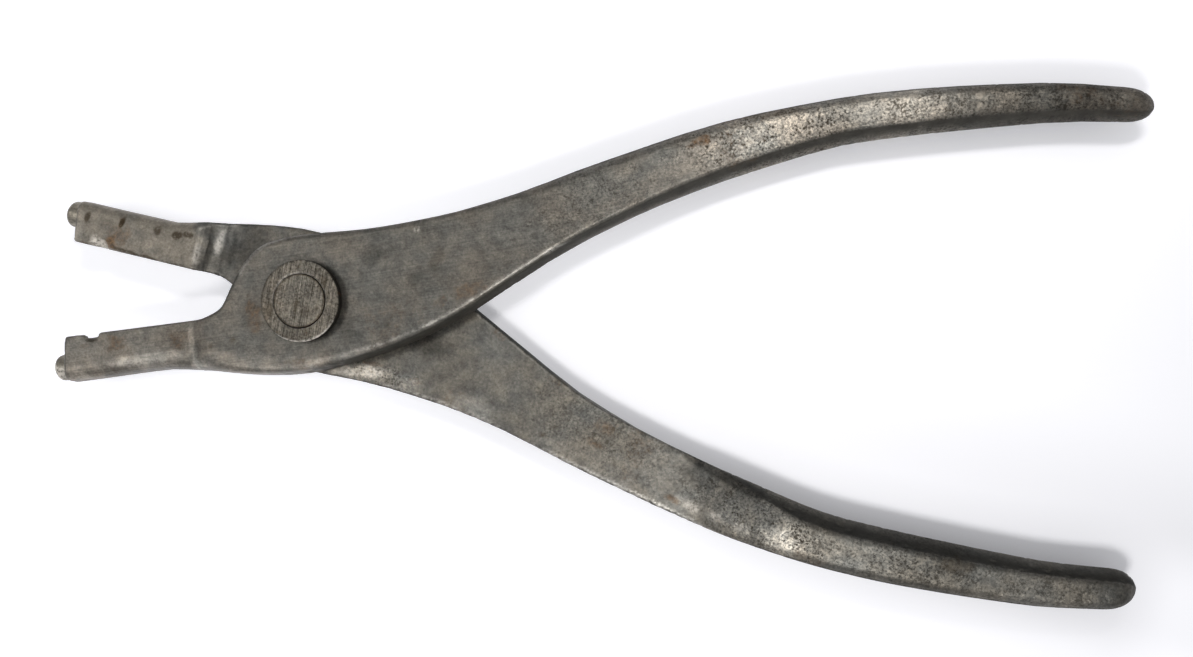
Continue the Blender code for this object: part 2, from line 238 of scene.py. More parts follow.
def addFloor(settings):
    bm = bmesh.new()
    bmesh.ops.create_grid(bm, x_segments=1, y_segments=1, size=settings["floorHalf"])
    mesh = bpy.data.meshes.new("studioFloor")
    bm.to_mesh(mesh)
    bm.free()
    floor = bpy.data.objects.new("studioFloor", mesh)
    bpy.context.scene.collection.objects.link(floor)
    paper = bpy.data.materials.new("floorPaper")
    paper.use_nodes = True
    tree = paper.node_tree
    shader = tree.nodes["Principled BSDF"]
    shader.inputs["Base Color"].default_value = (*settings["floorColour"], 1)
    shader.inputs["Roughness"].default_value = settings["floorRoughness"]
    shader.inputs["Specular IOR Level"].default_value = settings["floorSpecular"]
    shader.inputs["Emission Color"].default_value = (*settings["floorColour"], 1)
    rays = tree.nodes.new("ShaderNodeLightPath").outputs
    seen = plus(tree, rays["Is Camera Ray"], rays["Is Glossy Ray"], rays["Is Transmission Ray"])
    split = tree.nodes.new("ShaderNodeSeparateXYZ")
    feed(tree, split.inputs[0], tree.nodes.new("ShaderNodeTexCoord").outputs["Object"])
    placeX, placeY = split.outputs["X"], split.outputs["Y"]
    glow = ramp(tree, placeX, *settings["liftChange"], *settings["floorLift"])
    start, slope = settings["handleRun"]
    runY = plus(tree, start, times(tree, placeX, slope))
    above = sumNode(tree, "SUBTRACT", placeY, runY)
    for lift, low, high in (settings["underLift"], settings["overLift"]):
        glow = plus(tree, glow, ramp(tree, above, low, high, 0.0, lift))
    lift, rangeX, rangeY = settings["cornerLift"]
    corner = times(tree, ramp(tree, placeX, *rangeX), ramp(tree, placeY, *rangeY))
    glow = plus(tree, glow, times(tree, corner, lift))
    near = tree.nodes.new("ShaderNodeAmbientOcclusion")
    near.samples = settings["shadeSamples"]
    near.inputs["Distance"].default_value = settings["nearShade"]
    lost = sumNode(tree, "SUBTRACT", near.outputs["AO"], 1.0)
    faded = plus(tree, 1.0, times(tree, lost, ramp(tree, placeX, *settings["shadeChange"])))
    tree.links.new(times(tree, seen, glow, faded), shader.inputs["Emission Strength"])
    mesh.materials.append(paper)


def addLights(settings):
    world = bpy.data.worlds.new("studioRoom")
    world.use_nodes = True
    bpy.context.scene.world = world
    world.node_tree.nodes["Background"].inputs["Color"].default_value = (*settings["sky"], 1)

    for spec in settings["lamps"]:
        lamp = bpy.data.lights.new(spec["name"], "AREA")
        lamp.size = spec["size"]
        lamp.spread = math.radians(spec["spreadDegrees"])
        lamp.energy = spec["power"]
        lamp.color = settings["lampColour"]
        softbox = bpy.data.objects.new(spec["name"], lamp)
        softbox.location = spec["place"]
        facing = Vector(spec["aim"]) - softbox.location
        softbox.rotation_euler = facing.to_track_quat("-Z", "Y").to_euler()
        softbox.visible_camera = False
        bpy.context.scene.collection.objects.link(softbox)


addCamera(photoView)
addFloor(studio)
addLights(studio)
bpy.context.scene.view_settings.view_transform = "Standard"
print("camera, floor and lights placed")


# Shared effects of old steel, and the painted light that the masks carry

speckleLook = {
    "fine": 0.42 * mm,
    "grain": 0.34 * mm,
    "patch": 2.6 * mm,
    "patchShare": 0.45,
    "grainShare": 0.16,
    "Light": (0.49, 0.66),  # noise from which grains turn light
    "Dark": (0.47, 0.34),  # and below which they turn dark
}


def makeSpeckle():
    tree, given, put = newGroup(
        "saltAndPepper",
        [("Vector", "Vector"), ("Amount", "Float")],
        [("Light", "Float"), ("Dark", "Float")],
    )
    fine = noiseField(tree, given["Vector"], speckleLook["fine"], 3, 0.7)
    grains = tree.nodes.new("ShaderNodeTexVoronoi")
    grains.inputs["Scale"].default_value = 1 / speckleLook["grain"]
    feed(tree, grains.inputs["Vector"], given["Vector"])
    grain = tree.nodes.new("ShaderNodeSeparateColor")
    feed(tree, grain.inputs[0], grains.outputs["Color"])
    patch = noiseField(tree, given["Vector"], speckleLook["patch"], 3)
    drift = times(tree, sumNode(tree, "SUBTRACT", patch, 0.5), speckleLook["patchShare"])
    cell = times(tree, sumNode(tree, "SUBTRACT", grain.outputs[0], 0.5), speckleLook["grainShare"])
    tipped = plus(tree, fine, drift, cell)
    for label in ("Light", "Dark"):
        turned = ramp(tree, tipped, *speckleLook[label])
        tree.links.new(times(tree, turned, given["Amount"]), put[label])
    return tree


grindLook = {
    "size": 1.0 * mm,
    "coarse": (0.06, 3.2, 1.0),  # lines per size along X, Y and Z
    "fine": (0.16, 6.5, 1.0),
    "coarseShare": 0.6,
    "fineShare": 0.4,
}


def makeGrindLines():
    tree, given, put = newGroup("grindLines", [("Vector", "Vector")], [("Lines", "Float")])
    coarse = noiseField(tree, given["Vector"], grindLook["size"], 3, 0.7, grindLook["coarse"])
    fine = noiseField(tree, given["Vector"], grindLook["size"], 2, 0.7, grindLook["fine"])
    coarse = times(tree, coarse, grindLook["coarseShare"])
    both = plus(tree, coarse, times(tree, fine, grindLook["fineShare"]))
    tree.links.new(sumNode(tree, "SUBTRACT", both, 0.5), put["Lines"])
    return tree


rustLook = {
    "bloom": 1.6 * mm,
    "mottle": 0.7 * mm,
    "ragged": 1.1,  # how far the bloom's noise eats into the mask
    "coverFrom": (0.1, 1.1),
    "maskFrom": (0.02, 0.3),
    "deep": (0.060, 0.036, 0.019),
    "fresh": (0.21, 0.112, 0.048),
}


def makeRust():
    tree, given, put = newGroup(
        "rustBloom",
        [("Vector", "Vector"), ("Mask", "Float")],
        [("Color", "Color"), ("Cover", "Float")],
    )
    bloom = noiseField(tree, given["Vector"], rustLook["bloom"], 5, 0.7)
    tone = noiseField(tree, given["Vector"], rustLook["mottle"], 4)
    ragged = times(tree, sumNode(tree, "SUBTRACT", bloom, 0.5), rustLook["ragged"])
    eaten = ramp(tree, plus(tree, given["Mask"], ragged), *rustLook["coverFrom"])
    cover = times(tree, eaten, ramp(tree, given["Mask"], *rustLook["maskFrom"]))
    colour = mixColour(tree, ramp(tree, tone, 0.35, 0.65), rustLook["deep"], rustLook["fresh"])
    tree.links.new(colour, put["Color"])
    tree.links.new(cover, put["Cover"])
    return tree


speckleGroup = makeSpeckle()
grindGroup = makeGrindLines()
rustGroup = makeRust()


steelLook = {
    "cloud": 9 * mm,
    "mist": 2.2 * mm,
    "grit": 0.6 * mm,
    "cloudWarmth": (0.1, 0.75),
    "mistWarmth": (0.0, 0.15),
    "mistShade": (0.79, 1.20),
    "gritShade": (0.83, 1.17),
    "sideShade": (0.72, 1.28),
    "lightGrain": (1.9, 1.84, 1.76),
    "darkGrain": (0.34, 0.31, 0.27),
    # colour of the bright mask: bright worn steel on the levers, and painted highlights on levers, rivet,
    # washer and pins
    "glint": (0.66, 0.62, 0.56),
    "wornEdge": (0.58, 0.56, 0.52),
    "blotAndPaintedShade": (0.036, 0.025, 0.013),
    "rustCover": 0.8,
    "roughness": 0.40,
    "rougher": {"grit": 0.16, "darkGrain": 0.2, "rust": 0.3, "wall": 0.25, "shine": -0.14},
    "metallic": 0.72,
    "duller": {"rust": 0.7, "blotAndPaintedShade": 0.5, "wall": 0.75, "glint": 0.5, "tan": 0.6},
    "height": {"grit": 0.5, "streak": 0.7, "darkGrain": -0.8, "lightGrain": 0.3},
    "bumpDepth": 0.08 * mm,
}


def makeAgedSteel():
    tree, given, put = newGroup(
        "agedSteel",
        [
            ("Vector", "Vector"),
            ("Lined", "Vector"),
            ("Cool", "Color"),
            ("Warm", "Color"),
            ("Side", "Color"),
            ("Lining", "Float"),
            ("Tone", "Float"),
            ("Tan", "Float"),
            ("Speckle", "Float"),
            ("Wall", "Float"),
            ("Edge", "Float"),
            ("Bright", "Float"),
            ("Dark", "Float"),
            ("Rust", "Float"),
        ],
        [
            ("Color", "Color"),
            ("Roughness", "Float"),
            ("Metallic", "Float"),
            ("Height", "Float"),
        ],
    )
    where = given["Vector"]
    cloud = noiseField(tree, where, steelLook["cloud"], 5, 0.62)
    mist = noiseField(tree, where, steelLook["mist"], 5, 0.65)
    grit = noiseField(tree, where, steelLook["grit"], 3, 0.6)
    lines = useGroup(tree, grindGroup, Vector=given["Lined"])["Lines"]
    streak = times(tree, lines, given["Lining"])

    cloudWarmth = ramp(tree, cloud, 0.32, 0.68, *steelLook["cloudWarmth"])
    mistWarmth = ramp(tree, mist, 0.35, 0.65, *steelLook["mistWarmth"])
    warmth = plus(tree, cloudWarmth, mistWarmth, given["Tan"])
    ground = mixColour(tree, warmth, given["Cool"], given["Warm"])
    mistShade = ramp(tree, mist, 0.28, 0.72, *steelLook["mistShade"])
    gritShade = ramp(tree, grit, 0.2, 0.8, *steelLook["gritShade"])
    # the tone mask multiplies in random tone and painted light: lit bands, painted highlights and painted
    # shadows
    shade = times(tree, mistShade, gritShade, plus(tree, 1.0, streak), given["Tone"])
    ground = mixColour(tree, 1.0, ground, shade, "MULTIPLY")

    speckle = useGroup(tree, speckleGroup, Vector=where, Amount=given["Speckle"])
    lit = mixColour(tree, 1.0, ground, steelLook["lightGrain"], "MULTIPLY")
    ground = mixColour(tree, speckle["Light"], ground, lit)
    dim = mixColour(tree, 1.0, ground, steelLook["darkGrain"], "MULTIPLY")
    ground = mixColour(tree, speckle["Dark"], ground, dim)

    sideShade = ramp(tree, mist, 0.2, 0.8, *steelLook["sideShade"])
    side = mixColour(tree, 1.0, given["Side"], sideShade, "MULTIPLY")
    ground = mixColour(tree, given["Wall"], ground, side)

    # painted highlights, and on the levers bright worn patches, take the glint colour
    glint = times(tree, given["Bright"], ramp(tree, grit, 0.30, 0.62))
    ground = mixColour(tree, glint, ground, steelLook["glint"])
    worn = times(tree, given["Edge"], ramp(tree, mist, 0.30, 0.60), ramp(tree, grit, 0.25, 0.58))
    ground = mixColour(tree, worn, ground, steelLook["wornEdge"])

    blotAndPaintedShade = times(tree, given["Dark"], ramp(tree, grit, 0.22, 0.50))
    ground = mixColour(tree, blotAndPaintedShade, ground, steelLook["blotAndPaintedShade"])
    rust = useGroup(tree, rustGroup, Vector=where, Mask=given["Rust"])
    ground = mixColour(tree, times(tree, rust["Cover"], steelLook["rustCover"]), ground, rust["Color"])
    tree.links.new(ground, put["Color"])

    sources = {
        "grit": grit,
        "streak": streak,
        "lightGrain": speckle["Light"],
        "darkGrain": speckle["Dark"],
        "rust": rust["Cover"],
        "blotAndPaintedShade": blotAndPaintedShade,
        "glint": glint,
        "shine": sumNode(tree, "MAXIMUM", glint, worn),
        "wall": given["Wall"],
        "tan": given["Tan"],
    }
    rough = weighted(tree, steelLook["roughness"], sources, steelLook["rougher"])
    tree.links.new(rough, put["Roughness"])
    dull = weighted(tree, 0.0, sources, steelLook["duller"])
    metallic = sumNode(tree, "SUBTRACT", steelLook["metallic"], dull)
    tree.links.new(sumNode(tree, "MAXIMUM", metallic, 0.0), put["Metallic"])
    tree.links.new(weighted(tree, 0.0, sources, steelLook["height"]), put["Height"])
    return tree


agedSteel = makeAgedSteel()
maskNames = ("Tone", "Tan", "Speckle", "Wall", "Edge", "Bright", "Dark", "Rust")


def steelMaterial(name, look):
    material = bpy.data.materials.new(name)
    material.use_nodes = True
    tree = material.node_tree
    shader = tree.nodes["Principled BSDF"]
    coords = tree.nodes.new("ShaderNodeTexCoord").outputs["Object"]
    mapping = tree.nodes.new("ShaderNodeMapping")
    mapping.inputs["Rotation"].default_value = (0, 0, math.radians(-look["lineAngle"]))
    feed(tree, mapping.inputs["Vector"], coords)
    values = {"Vector": coords, "Lined": mapping.outputs[0], "Lining": look["lining"]}
    values.update(Cool=look["cool"], Warm=look["warm"], Side=look["side"])
    for label in maskNames:
        reader = tree.nodes.new("ShaderNodeAttribute")
        reader.attribute_name = label.lower()
        values[label] = reader.outputs["Fac"]
    steel = useGroup(tree, agedSteel, **values)
    tree.links.new(steel["Color"], shader.inputs["Base Color"])
    for label in ("Roughness", "Metallic"):
        tree.links.new(steel[label], shader.inputs[label])
    shader.inputs["Specular IOR Level"].default_value = look["specular"]
    bump = tree.nodes.new("ShaderNodeBump")
    bump.inputs["Strength"].default_value = look["bump"]
    bump.inputs["Distance"].default_value = steelLook["bumpDepth"]
    tree.links.new(steel["Height"], bump.inputs["Height"])
    tree.links.new(bump.outputs["Normal"], shader.inputs["Normal"])
    return material


# Mesh helpers

def smoothStep(values, low, high):
    share = np.clip((values - low) / (high - low), 0, 1)
    return share * share * (3 - 2 * share)


def readVertices(mesh, label="co"):
    values = np.empty(len(mesh.vertices) * 3, np.float32)
    mesh.vertices.foreach_get(label, values)
    return values.reshape(-1, 3).astype(float)


def writeVertices(mesh, points):
    mesh.vertices.foreach_set("co", points.astype(np.float32).ravel())
    mesh.update()


def readEdges(mesh):
    ends = np.empty(len(mesh.edges) * 2, np.int32)
    mesh.edges.foreach_get("vertices", ends)
    return ends.reshape(-1, 2)


def neighbourMean(values, ends):
    total = np.zeros_like(values)
    for near, far in ((0, 1), (1, 0)):
        np.add.at(total, ends[:, near], values[ends[:, far]])
    count = np.bincount(ends.ravel(), minlength=len(values))
    return total / (count[:, None] if values.ndim == 2 else count)


def noiseValues(points, size, seed=0.0):
    shift = Vector((seed, 1.7 * seed, 2.3 * seed))
    return np.array([noise.noise(Vector(p) / size + shift) for p in points])


def surfaceBend(points, normals, ends):
    # how sharply the surface turns, per millimetre; edges are positive and hollows negative
    lean = ((neighbourMean(points, ends) - points) * normals).sum(axis=1)
    length = np.linalg.norm(points[ends[:, 0]] - points[ends[:, 1]], axis=1)
    span = np.zeros(len(points))
    for side in (0, 1):
        np.add.at(span, ends[:, side], length)
    span /= np.bincount(ends.ravel(), minlength=len(points))
    bend = -2 * lean / span**2 * mm
    for _ in range(3):
        bend = neighbourMean(bend, ends)
    return bend


def writeMasks(mesh, masks):
    for label in maskNames:
        attribute = mesh.attributes.new(label.lower(), "FLOAT", "POINT")
        attribute.data.foreach_set("value", masks[label].astype(np.float32))


def spotMask(points, wander, spots, core=0.25, fade=1.15, ragged=0.45):
    # spots are x, y, half length, half width in millimetres, turn in degrees, strength
    mask = np.zeros(len(points))
    for x, y, length, width, turn, strength in spots:
        offX, offY = points[:, 0] / mm - x, points[:, 1] / mm - y
        cos, sin = math.cos(math.radians(turn)), math.sin(math.radians(turn))
        reach = np.hypot((offX * cos + offY * sin) / length, (offY * cos - offX * sin) / width)
        inside = strength * (1 - smoothStep(reach + ragged * wander, core, fade))
        mask = np.where(np.abs(inside) > np.abs(mask), inside, mask)
    return mask


def lineMask(points, line, width):
    # nearness to a line of x, y points in millimetres
    flat = points[:, :2] / mm
    best = np.full(len(flat), np.inf)
    for start, end in zip(np.array(line[:-1]), np.array(line[1:])):
        run = end - start
        share = np.clip((flat - start) @ run / (run @ run), 0, 1)
        best = np.minimum(best, np.linalg.norm(flat - start - share[:, None] * run, axis=1))
    return 1 - smoothStep(best, 0.4 * width, width)


def evenCopy(node, voxel):
    bm = bmesh.new()
    bm.from_mesh(node.data)
    bmesh.ops.remove_doubles(bm, verts=bm.verts, dist=1e-6)
    mesh = bpy.data.meshes.new("merged")
    bm.to_mesh(mesh)
    bm.free()
    holder = bpy.data.objects.new("merged", mesh)
    bpy.context.scene.collection.objects.link(holder)
    remesh = holder.modifiers.new("evenGrid", "REMESH")
    remesh.mode = "VOXEL"
    remesh.voxel_size = voxel
    graph = bpy.context.evaluated_depsgraph_get()
    even = bpy.data.meshes.new_from_object(holder.evaluated_get(graph))
    bpy.data.objects.remove(holder)
    return even


def placePiece(name, mesh, node, material):
    mesh.materials.clear()
    mesh.materials.append(material)
    mesh.shade_smooth()
    piece = bpy.data.objects.new(name, mesh)
    bpy.context.scene.collection.objects.link(piece)
    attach(piece, nodes[node]["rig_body"])
    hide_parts(node)
    return piece


# Levers

leverMesh = {
    "voxel": 0.40 * mm,
    "softenPasses": 3,
    "softenShare": 0.5,
    "backToSolid": 0.8,  # share of the softening that is taken back
    "lastSoften": 0.3,
    "jawFrom": -20.0 * mm,  # finer faces from here to the jaw's end
    "crispFrom": -36.0 * mm,  # the cuts beyond this keep their sharp edges
    "crispAngle": 60.0,
    "crispReach": 0.26 * mm,
    "crispPull": 0.9,
    "stepFrom": -30.0 * mm,
    "stepTo": -12.0 * mm,
    "stepGrid": 0.15 * mm,
    "stepBlur": 0.75 * mm,
    "stepTaps": 40,
    "stepHalfWidth": 1.5 * mm,
    "waveSize": 7.0 * mm,
    "waveDepth": 0.06 * mm,
    "pitSize": 0.9 * mm,
    "pitDepth": 0.08 * mm,
    "pitsFrom": (45 * mm, 70 * mm),  # along the handle, from few pits to many
    "nickSize": 1.2 * mm,
    "nickDepth": 0.16 * mm,
    "nickBend": (0.3, 0.9),
    "chipSize": 0.8 * mm,
    "chipBend": (0.1, 0.5),
}
leverMarks = {
    "wander": 1.3 * mm,  # noise that roughens the outlines of the marks
    "cloud": 11 * mm,  # noise that spreads the thin rust
    "thinRust": 0.3,
    "leastSpeckle": 0.22,
    "jawFade": 0.6,  # millimetres
    "riserEnds": (-14, -11),  # millimetres along X
    "wallTurn": (0.35, 0.75),  # upright faces count as wall, level ones don't
    "handleFrom": (35, 60),  # millimetres along X
    "wallPaintedBounceHeights": (6.4, 9.6),  # millimetres up; the handle's wall is painted pale below this, as lit from the floor, and dark above
    "edgeWear": 0.18,
    "edgeBend": (0.35, 1.0),
    "lineBend": (0.10, 0.45),
    "darkCore": 0.6,
}

frontLook = {
    "cool": (0.121, 0.122, 0.114),
    "warm": (0.155, 0.138, 0.116),
    "side": (0.052, 0.049, 0.042),
    "lining": 1.1,
    "lineAngle": 11.0,
    "bump": 0.35,
    "specular": 0.12,
    "lapSide": -1,
    "stepTurn": 9.7,
    "stepMiddle": -4.3,
    "jawTone": 1.12,
    "jawTan": 0.2,
    "jawEnds": -21.4,
    "grain": [
        (84, 33, 22, 9, 12, 1.0),
        (52, 20, 16, 8, 28, 0.45),
        (108, 37, 14, 6, 2, 0.75),
        (128, 40, 18, 7, -3, 0.7),
    ],
    "tone": [
        # painted highlight: the lit band along the front jaw's lower rounding (this spot and the next)
        (-30.5, -12.6, 10, 1.8, 8, 1.25),
        (-43.3, -15.2, 7, 1.5, 8, 0.6),
        (-44.0, -11.6, 5, 3.6, 8, 0.25),
        (-42.4, -9.5, 1.5, 0.5, 8, -0.6),
        # painted highlight: the same lit band near the jaw's tip
        (-45.0, -16.4, 4.5, 1.3, 8, 1.1),
        # painted light at the jaw's root, below the riser
        (-20.3, -12.2, 2.2, 1.7, 0, 0.75),
        (-24.5, -8.0, 4, 3.5, 0, -0.2),
        # painted light on the riser from the jaw up to the cheek (this spot and the next)
        (-21.9, -8.5, 0.8, 6.5, 7, 0.55),
        (-19.8, -8.5, 0.9, 6.5, 7, 0.3),
        (-16.4, -7.6, 2.6, 5.5, 8, -0.1),
        (-4.0, 0.0, 20, 13, 0, -0.17),
        (12.4, 9.0, 3.2, 2.4, 20, -0.36),
        (8.4, -4.6, 2.4, 4.0, 0, -0.36),
        (22.0, 5.0, 4.0, 3.0, 20, -0.22),
        (32.2, 12.6, 9, 5, 28, 0.12),
    ],
    "toneAndPaintedLightLines": [
        # lighter bands along the cheek's lower rounding: worn steel, and painted light where the rounding
        # faces the lamps (this line and the next)
        ([(-18.4, -11.4), (-8.1, -11.6), (2.5, -10.9)], 0.36, 1.9),
        ([(-20.8, -13.4), (-14.0, -13.6), (-6.0, -13.6), (1.0, -13.0)], 0.6, 1.8),
        # painted light on the riser from the jaw up to the cheek
        ([(-21.3, -5.5), (-20.8, -13.0)], 0.4, 0.8),
        ([(1.4, -11.2), (3.8, -10.7), (6.0, -10.0), (8.8, -9.3), (12.4, -7.9)], 0.75, 0.8),
        # painted shade along the upper handle's outer edge
        ([(64.0, 31.4), (76.0, 35.2), (88.0, 38.2), (97.0, 39.8)], -0.1, 2.0),
        # painted shadow round the washer's right side
        ([(4.6, -5.4), (6.2, -3.6), (7.0, -1.2), (7.0, 1.2), (6.2, 3.6), (4.6, 5.4)], -0.45, 1.6),
    ],
    # painted light along the upper handle: painted highlights where the lamps fall, darker towards the
    # tip
    "handleToneAndPaintedLight": [
        (58, 1.0), (70, 1.26), (80, 1.9), (87, 1.5), (95, 1.15), (103, 2.1),
        (108, 1.6), (113, 0.98), (123, 0.68), (133, 0.44), (140, 0.82),
    ],
    "rust": [
        (-9.7, -2.8, 2.2, 4.6, 10, 0.5),
        (30.9, 3.6, 4.5, 2.2, 25, 0.5),
        (25.5, 1.2, 2.6, 1.4, 25, 0.45),
        (-1.0, -11.4, 6.0, 1.6, 2, 0.4),
        (70.0, 31.2, 3.0, 1.2, 25, 0.75),
        (-37.4, -9.9, 2.8, 2.2, 20, 0.6),
        (-24.4, -8.4, 3.0, 3.4, 10, 0.42),
        (-43.6, -10.6, 1.6, 0.7, 10, 0.45),
    ],
    "dark": [
        (-13.4, -7.8, 0.8, 0.6, 0, 0.55),
        (-17.6, -9.0, 0.5, 0.5, 0, 0.5),
        (-11.0, 0.5, 0.4, 0.4, 0, 0.6),
        (-38.6, -11.0, 0.8, 0.6, 30, 0.35),
        (-36.0, -10.3, 0.6, 0.4, -20, 0.25),
        (-42.4, -9.5, 1.5, 0.5, 8, 0.3),
        (24.5, 8.6, 2.4, 1.1, 60, 0.3),
        # painted shade: darker along the upper handle's outer edge
        (83.0, 36.6, 6.0, 0.7, 12, 0.6),
    ],
    "bright": [
        (20.5, 13.9, 0.6, 0.6, 0, 0.8),
        # painted highlight: the lit band along the front jaw's lower rounding
        (-33, -13.2, 8, 0.8, 8, 0.4),
    ],
    "edgeLines": [
        ([(4.0, -10.2), (14.8, -6.7), (23.8, -2.4), (33.0, 3.4)], 1.0, 0.65),
        ([(33.0, 3.4), (43.1, 10.6), (53.6, 14.8)], 0.5, 0.65),
        ([(-18.4, -11.6), (-8.1, -11.9), (2.5, -11.1)], 0.75, 1.2),
        ([(-13.2, 4.6), (-11.0, 7.8), (-8.3, 10.3), (-4.5, 11.9), (0.3, 12.9)], 0.35, 0.9),
    ],
    "wallPaintedBounce": 0.78,  # how far the handle's walls are painted paler towards the floor, as lit by light bounced off it
    # painted light: along the front lever's lower edge the wall takes the face colour, as if lit
    "wallsPaintedLit": [(-12.0, -13.0, 21.0, 4.5, 0, 1.0)],
    "chips": [(-32.5, -8.0, 4.5, 0.8, 8, 0.14)],  # depth in millimetres
}
backLook = dict(
    frontLook,
    cool=(0.124, 0.127, 0.122),
    warm=(0.163, 0.148, 0.124),
    side=(0.017, 0.0165, 0.0130),
    lining=0.25,
    lineAngle=-25.0,
    lapSide=1,
    stepTurn=-9.7,
    stepMiddle=5.0,
    jawTone=1.19,
    jawTan=0.55,
    jawEnds=-23.0,
    grain=[
        (84, -34, 16, 7, -20, 0.9),
        (55, -20, 18, 9, -25, 0.4),
        (110, -38, 16, 6, -6, 0.55),
        (132, -42, 14, 6, -3, 0.5),
        (13, -12.6, 9, 2.5, -12, 0.8),
    ],
    tone=[
        (-14.2, 9.5, 5.0, 8.0, -20, -0.52),
        (-47.0, 11.0, 1.6, 4.5, -13, 0.5),
        # painted highlight with worn steel on the step crests (this spot and the next)
        (-21.8, 8.8, 0.9, 3.4, -12, 1.3),
        (-19.1, 10.4, 0.9, 3.2, -13, 1.0),
        (-20.1, 5.6, 1.0, 2.6, -11, -0.12),
        (-20.7, 8.4, 0.7, 4.4, -10, -0.5),
        (-17.2, 8.8, 1.3, 6.0, -11, -0.6),
        # painted shadow on the lap beside the front cheek's wall
        (22.0, -6.5, 6.0, 3.0, -10, -0.5),
        (36.0, -12.0, 6.0, 4.0, -20, 0.2),
        (31.0, -17.2, 6.0, 2.2, -20, 0.8),
        (35.0, -8.0, 5.0, 4.0, -10, 0.2),
        (47.8, -24.0, 5.0, 1.6, -25, 0.25),
        (79.0, -28.6, 7.0, 2.0, -20, -0.25),
        (72.6, -27.0, 4.4, 2.4, -24, -0.36),
        # painted highlight on the lower handle
        (80.0, -34.0, 4.0, 1.8, -25, 0.5),
        (56.5, -20.5, 8.0, 5.0, -25, -0.12),
        # painted highlight with bright worn steel on the wedge below the cheek (this spot and the next)
        (9.0, -12.4, 8.0, 1.8, -4, 1.5),
        (18.5, -13.7, 5.5, 1.5, -15, 0.7),
        # painted highlight on the lower handle
        (86.9, -36.3, 5.0, 2.6, -22, 1.4),
    ],
    toneAndPaintedLightLines=[
        # painted shadow on the lap along the front cheek's wall
        ([(8.0, -10.4), (14.8, -8.2), (23.8, -4.2), (33.0, 1.8)], -0.45, 1.8),
        # painted highlight with worn steel along the lower handle's lower edge
        ([(69.5, -31.8), (76.0, -33.7), (81.0, -35.2)], 0.4, 1.7),
        ([(70.5, -23.3), (73.1, -24.7)], -0.5, 0.9),
        ([(73.1, -24.7), (76.6, -26.2), (80.1, -27.6), (83.6, -29.0)], -0.62, 1.3),
    ],
    # painted shade along the lower handle, dimming the lamp's highlight there
    handleToneAndPaintedLight=[(88, 1.0), (95, 0.86), (104, 0.85), (113, 0.60), (123, 0.95), (133, 1.05), (141, 0.74)],
    rust=[
        (55.7, -19.4, 3.4, 1.6, -25, 0.5),
        (54.1, -22.5, 2.6, 1.3, -25, 0.5),
        (35.6, -4.0, 2.6, 1.2, -20, 0.45),
        (68.4, -31.2, 2.2, 1.0, -30, 0.6),
        (-40.0, 9.5, 2.0, 1.9, -20, 0.85),
        (-38.9, 10.6, 3.6, 4.4, -16, 0.52),
        (11.6, -10.7, 2.8, 0.8, -10, 0.7),
        (-44.0, 8.5, 2.6, 0.4, -14, 0.5),
        (20.0, -13.6, 4.0, 0.8, -12, 0.4),
    ],
    dark=[
        (-44.8, 13.8, 1.30, 0.80, 59, 0.85),
        (-37.6, 12.9, 1.10, 0.62, 62, 1.0),
        (-30.4, 11.7, 1.00, 1.00, -30, 0.8),
        (-26.1, 11.0, 1.20, 0.80, 0, 0.9),
        (-24.4, 11.2, 0.70, 0.50, 0, 0.8),
        (-23.4, 11.1, 0.60, 0.50, 0, 0.8),
        (-36.5, 7.55, 3.2, 0.45, -12, 0.8),
        (-32.0, 6.6, 2.2, 0.40, -12, 0.7),
        (44.4, -21.6, 0.7, 0.5, 0, 0.6),
        (116.0, -37.8, 3.2, 1.4, 0, 0.5),
    ],
    bright=[
        (-42.2, 9.0, 2.2, 1.4, -12, 1.6),
        # painted highlight with bright worn steel on the wedge below the cheek (this spot and the next)
        (11.8, -12.1, 2.4, 1.4, -12, 1.0),
        (7.0, -12.4, 3.5, 0.8, -2, 0.4),
        # painted highlight with worn steel on the step crests (this spot and the next)
        (-22.3, 7.6, 0.8, 2.4, -9, 0.35),
        (-19.2, 10.2, 0.7, 2.4, -11, 0.45),
        # painted highlight with worn steel along the lower handle's lower edge (this spot and the next
        # two)
        (71.9, -32.4, 2.2, 0.9, -22, 0.6),
        (75.9, -33.4, 1.8, 0.9, -18, 0.45),
        (80.5, -34.8, 2.2, 0.9, -20, 0.35),
    ],
    edgeLines=[
        ([(14.0, -13.6), (22.7, -15.9), (30.8, -18.9), (40.0, -23.5)], 0.8, 1.2),
        ([(40.0, -23.5), (58.0, -29.5), (78.0, -38.0)], 0.8, 1.4),
        ([(78.0, -38.0), (100.0, -42.5), (140.0, -43.0)], 0.35, 1.4),
        ([(-45.0, 8.6), (-31.0, 5.8)], 0.7, 0.8),
    ],
    wallPaintedBounce=0.72,
    wallsPaintedLit=[],
    chips=[(-42.5, 8.5, 4.0, 1.0, -12, 0.40), (-35.5, 7.0, 5.5, 1.0, -12, 0.34)],
)


def softenedLever(node):
    mesh = evenCopy(nodes[node], leverMesh["voxel"])
    bm = bmesh.new()
    bm.from_mesh(mesh)
    jaw = [e for e in bm.edges if max(v.co.x for v in e.verts) < leverMesh["jawFrom"]]
    bmesh.ops.subdivide_edges(bm, edges=jaw, cuts=1, use_grid_fill=True)
    allAxes = {"use_axis_x": True, "use_axis_y": True, "use_axis_z": True}
    for _ in range(leverMesh["softenPasses"]):
        bmesh.ops.smooth_vert(bm, verts=bm.verts, factor=leverMesh["softenShare"], **allAxes)
    bm.to_mesh(mesh)
    bm.free()
    points = readVertices(mesh)
    solid = BVHTree.FromObject(nodes[node], bpy.context.evaluated_depsgraph_get())
    onSolid = np.array([solid.find_nearest(p)[0] for p in points])
    points += leverMesh["backToSolid"] * (onSolid - points)
    last = leverMesh["lastSoften"]
    points = (1 - last) * points + last * neighbourMean(points, readEdges(mesh))
    writeVertices(mesh, points)
    return mesh


